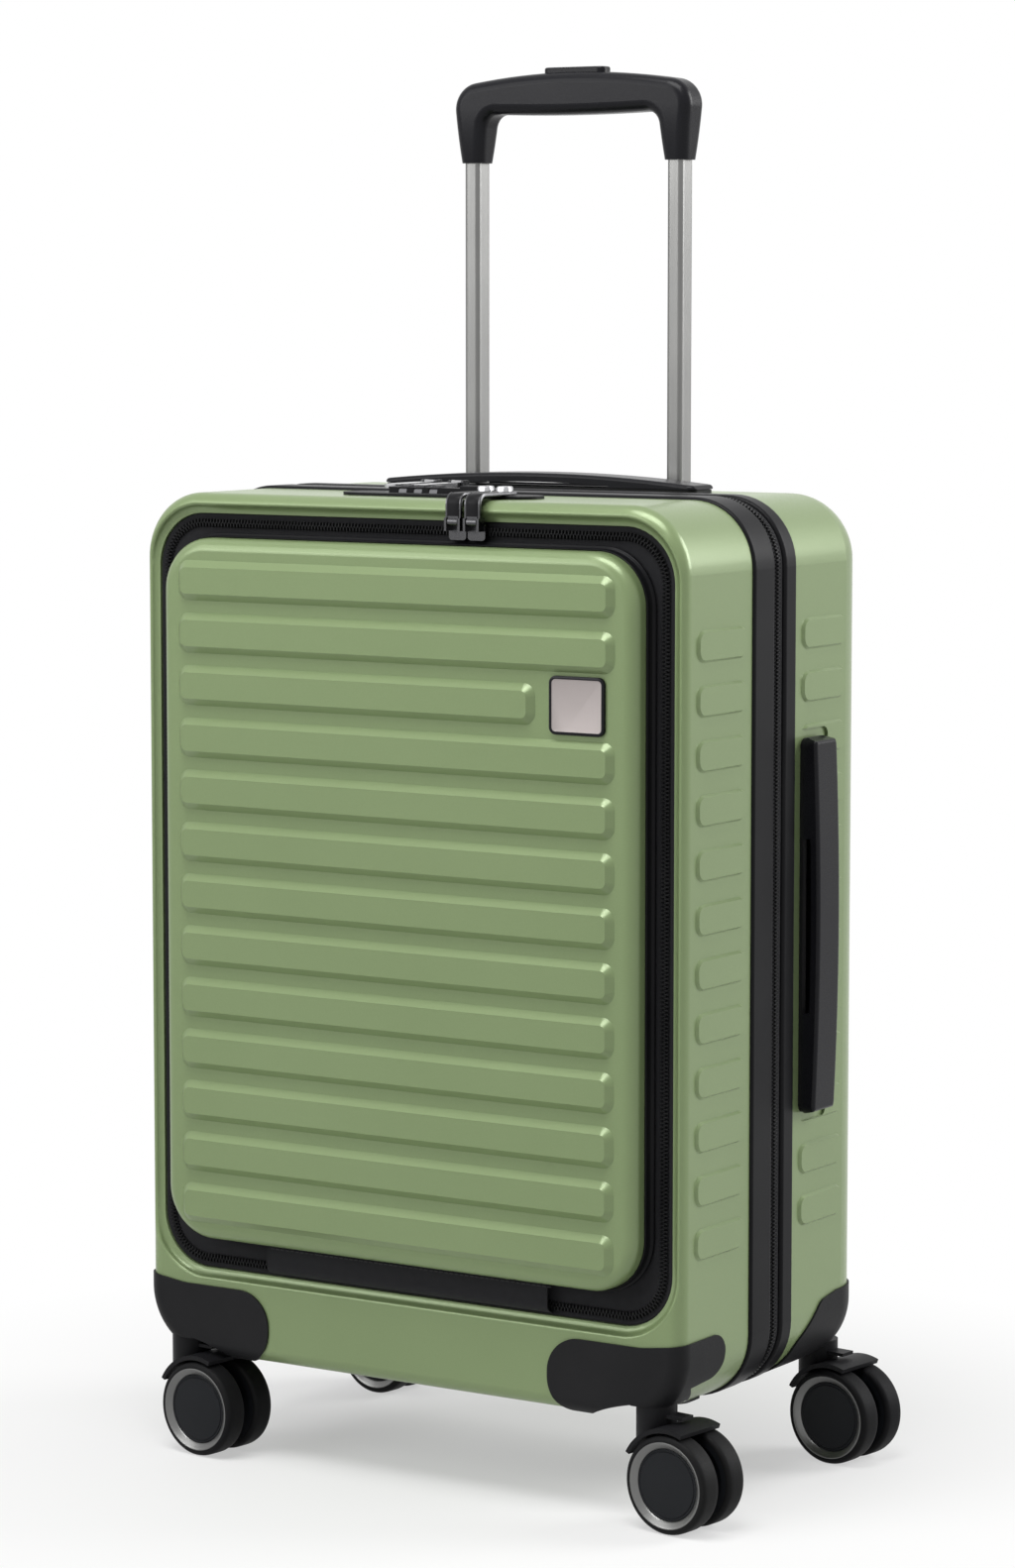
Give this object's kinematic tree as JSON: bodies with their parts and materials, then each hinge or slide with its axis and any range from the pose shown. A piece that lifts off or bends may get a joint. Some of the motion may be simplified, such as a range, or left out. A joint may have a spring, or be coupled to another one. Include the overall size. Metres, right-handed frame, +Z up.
{
  "type": "hard shell suitcase",
  "caption": "Upright hard shell cabin suitcase on swivelling twin wheels, with a ribbed zipped front door, telescopic trolley handle, sunk carry handles and a dial lock.",
  "frame": {"origin": "on the floor under the middle of the case", "axes": "+X to the right side seen from the front, -Y out of the front door, +Z up"},
  "size_m": [0.3765, 0.2219, 0.7758],
  "materials": {
    "green_shell": "satin moulded shell with a fine pearl",
    "black_plastic": "matte moulded",
    "black_rubber": "smooth matte piping",
    "black_fabric": "woven zip tape",
    "lining_fabric": "plain woven lining",
    "tube_aluminium": "drawn and anodised",
    "gunmetal": "dark plated die casting",
    "badge_metal": "satin plate",
    "wheel": "black tyre and hub with a dull metal trim ring",
    "steel": "plain pin"
  },
  "bodies": {
    "rear_half": {"rear_shell": "green_shell", "rear_piping": "black_rubber", "main_zip_rear": "black_fabric", "main_hinge_rear": "black_fabric", "trolley_outer_tubes": "tube_aluminium", "trolley_bezel": "black_plastic", "trolley_foot": "black_plastic", "top_handle_base": "black_plastic", "side_handle_base": "black_plastic", "rear_left_housing": "black_plastic", "rear_right_housing": "black_plastic"},
    "front_half": {"front_shell": "green_shell", "front_piping": "black_rubber", "main_zip_front": "black_fabric", "main_hinge_front": "black_fabric", "front_left_housing": "black_plastic", "front_right_housing": "black_plastic", "lock_body": "black_plastic", "lock_dial_axle": "steel", "door_zip_frame": "black_fabric", "door_hinge_lower": "black_fabric", "front_pocket": "lining_fabric"},
    "door": {"front_door": "green_shell", "door_zip_panel": "black_fabric", "door_hinge_upper": "black_fabric", "badge_plate": "badge_metal"},
    "top_handle": {"top_handle_grip": "black_plastic"},
    "side_handle": {"side_handle_grip": "black_plastic"},
    "trolley_middle": {"trolley_middle_tubes": "tube_aluminium"},
    "trolley_inner": {"trolley_inner_tubes": "tube_aluminium", "trolley_grip": "black_plastic"},
    "trolley_release": {"trolley_button": "black_plastic", "trolley_lock_bar": "steel"},
    "lock_release": {"lock_button": "black_plastic"},
    "dial_1": {"lock_dial_1": "gunmetal"},
    "dial_2": {"lock_dial_2": "gunmetal"},
    "dial_3": {"lock_dial_3": "gunmetal"},
    "main_slider_left": {"main_zip_slider_left": "gunmetal"},
    "main_pull_left": {"main_zip_pull_left": "gunmetal"},
    "main_slider_right": {"main_zip_slider_right": "gunmetal"},
    "main_pull_right": {"main_zip_pull_right": "gunmetal"},
    "door_slider_left": {"door_zip_slider_left": "gunmetal"},
    "door_pull_left": {"door_zip_pull_left": "gunmetal"},
    "door_slider_right": {"door_zip_slider_right": "gunmetal"},
    "door_pull_right": {"door_zip_pull_right": "gunmetal"},
    "front_left_caster": {"front_left_fork": "black_plastic"},
    "front_left_wheel_front": {"front_left_wheel_front": "wheel"},
    "front_left_wheel_back": {"front_left_wheel_back": "wheel"},
    "front_right_caster": {"front_right_fork": "black_plastic"},
    "front_right_wheel_front": {"front_right_wheel_front": "wheel"},
    "front_right_wheel_back": {"front_right_wheel_back": "wheel"},
    "rear_left_caster": {"rear_left_fork": "black_plastic"},
    "rear_left_wheel_front": {"rear_left_wheel_front": "wheel"},
    "rear_left_wheel_back": {"rear_left_wheel_back": "wheel"},
    "rear_right_caster": {"rear_right_fork": "black_plastic"},
    "rear_right_wheel_front": {"rear_right_wheel_front": "wheel"},
    "rear_right_wheel_back": {"rear_right_wheel_back": "wheel"}
  },
  "joints": [
    {"name": "case_open", "type": "hinge", "parent": "rear_half", "child": "front_half", "pos_m": [-0.1758, 0.0055, 0.2982], "axis": [0, 0, -1], "range_deg": [0, 140]},
    {"name": "door_open", "type": "hinge", "parent": "front_half", "child": "door", "pos_m": [0, -0.0935, 0.1105], "axis": [1, 0, 0], "range_deg": [0, 90]},
    {"name": "top_handle_lift", "type": "slide", "parent": "rear_half", "child": "top_handle", "axis": [0, 0, 1], "range_m": [0, 0.01], "stiffness_N_per_m": 300},
    {"name": "side_handle_lift", "type": "slide", "parent": "rear_half", "child": "side_handle", "axis": [1, 0, 0], "range_m": [0, 0.01], "stiffness_N_per_m": 300},
    {"name": "trolley_first_stage", "type": "slide", "parent": "rear_half", "child": "trolley_middle", "axis": [0, 0, 1], "range_m": [0, 0.23]},
    {"name": "trolley_second_stage", "type": "slide", "parent": "trolley_middle", "child": "trolley_inner", "axis": [0, 0, 1], "range_m": [-0.206, 0.044]},
    {"name": "trolley_button_press", "type": "slide", "parent": "trolley_inner", "child": "trolley_release", "axis": [0, 0, -1], "range_m": [0, 0.004], "stiffness_N_per_m": 500, "springref_m": -0.002},
    {"name": "lock_button_slide", "type": "slide", "parent": "front_half", "child": "lock_release", "axis": [1, 0, 0], "range_m": [0, 0.004], "stiffness_N_per_m": 300},
    {"name": "dial_1_turn", "type": "hinge", "parent": "front_half", "child": "dial_1", "pos_m": [-0.024, -0.053, 0.54], "axis": [1, 0, 0], "continuous": true},
    {"name": "dial_2_turn", "type": "hinge", "parent": "front_half", "child": "dial_2", "pos_m": [-0.014, -0.053, 0.54], "axis": [1, 0, 0], "continuous": true},
    {"name": "dial_3_turn", "type": "hinge", "parent": "front_half", "child": "dial_3", "pos_m": [-0.004, -0.053, 0.54], "axis": [1, 0, 0], "continuous": true},
    {"name": "main_slider_left_run", "type": "slide", "parent": "front_half", "child": "main_slider_left", "axis": [1, 0, 0], "range_m": [-0.096, 0]},
    {"name": "main_pull_left_flip", "type": "hinge", "parent": "main_slider_left", "child": "main_pull_left", "pos_m": [-0.044, -0.0014, 0.5443], "axis": [-1, 0, 0], "range_deg": [0, 125]},
    {"name": "main_slider_right_run", "type": "slide", "parent": "front_half", "child": "main_slider_right", "axis": [1, 0, 0], "range_m": [0, 0.16]},
    {"name": "main_pull_right_flip", "type": "hinge", "parent": "main_slider_right", "child": "main_pull_right", "pos_m": [-0.026, -0.0014, 0.5443], "axis": [-1, 0, 0], "range_deg": [0, 125]},
    {"name": "door_slider_left_run", "type": "slide", "parent": "door", "child": "door_slider_left", "axis": [1, 0, 0], "range_m": [-0.15, 0]},
    {"name": "door_pull_left_flip", "type": "hinge", "parent": "door_slider_left", "child": "door_pull_left", "pos_m": [0.0345, -0.0962, 0.529], "axis": [1, 0, 0], "range_deg": [0, 115]},
    {"name": "door_slider_right_run", "type": "slide", "parent": "door", "child": "door_slider_right", "axis": [1, 0, 0], "range_m": [0, 0.065]},
    {"name": "door_pull_right_flip", "type": "hinge", "parent": "door_slider_right", "child": "door_pull_right", "pos_m": [0.0465, -0.0962, 0.529], "axis": [1, 0, 0], "range_deg": [0, 115]},
    {"name": "front_left_swivel", "type": "hinge", "parent": "front_half", "child": "front_left_caster", "pos_m": [-0.1534, -0.082, 0.06], "axis": [0, 0, 1], "continuous": true},
    {"name": "front_left_roll_front", "type": "hinge", "parent": "front_left_caster", "child": "front_left_wheel_front", "pos_m": [-0.13454, -0.08432, 0.0265], "axis": [0.1219, 0.9925, 0], "continuous": true},
    {"name": "front_left_roll_back", "type": "hinge", "parent": "front_left_caster", "child": "front_left_wheel_back", "pos_m": [-0.13454, -0.08432, 0.0265], "axis": [0.1219, 0.9925, 0], "continuous": true},
    {"name": "front_right_swivel", "type": "hinge", "parent": "front_half", "child": "front_right_caster", "pos_m": [0.1534, -0.082, 0.06], "axis": [0, 0, 1], "continuous": true},
    {"name": "front_right_roll_front", "type": "hinge", "parent": "front_right_caster", "child": "front_right_wheel_front", "pos_m": [0.17226, -0.08432, 0.0265], "axis": [0.1219, 0.9925, 0], "continuous": true},
    {"name": "front_right_roll_back", "type": "hinge", "parent": "front_right_caster", "child": "front_right_wheel_back", "pos_m": [0.17226, -0.08432, 0.0265], "axis": [0.1219, 0.9925, 0], "continuous": true},
    {"name": "rear_left_swivel", "type": "hinge", "parent": "rear_half", "child": "rear_left_caster", "pos_m": [-0.1534, 0.094, 0.06], "axis": [0, 0, 1], "continuous": true},
    {"name": "rear_left_roll_front", "type": "hinge", "parent": "rear_left_caster", "child": "rear_left_wheel_front", "pos_m": [-0.13454, 0.09168, 0.0265], "axis": [0.1219, 0.9925, 0], "continuous": true},
    {"name": "rear_left_roll_back", "type": "hinge", "parent": "rear_left_caster", "child": "rear_left_wheel_back", "pos_m": [-0.13454, 0.09168, 0.0265], "axis": [0.1219, 0.9925, 0], "continuous": true},
    {"name": "rear_right_swivel", "type": "hinge", "parent": "rear_half", "child": "rear_right_caster", "pos_m": [0.1534, 0.094, 0.06], "axis": [0, 0, 1], "continuous": true},
    {"name": "rear_right_roll_front", "type": "hinge", "parent": "rear_right_caster", "child": "rear_right_wheel_front", "pos_m": [0.17226, 0.09168, 0.0265], "axis": [0.1219, 0.9925, 0], "continuous": true},
    {"name": "rear_right_roll_back", "type": "hinge", "parent": "rear_right_caster", "child": "rear_right_wheel_back", "pos_m": [0.17226, 0.09168, 0.0265], "axis": [0.1219, 0.9925, 0], "continuous": true}
  ]
}
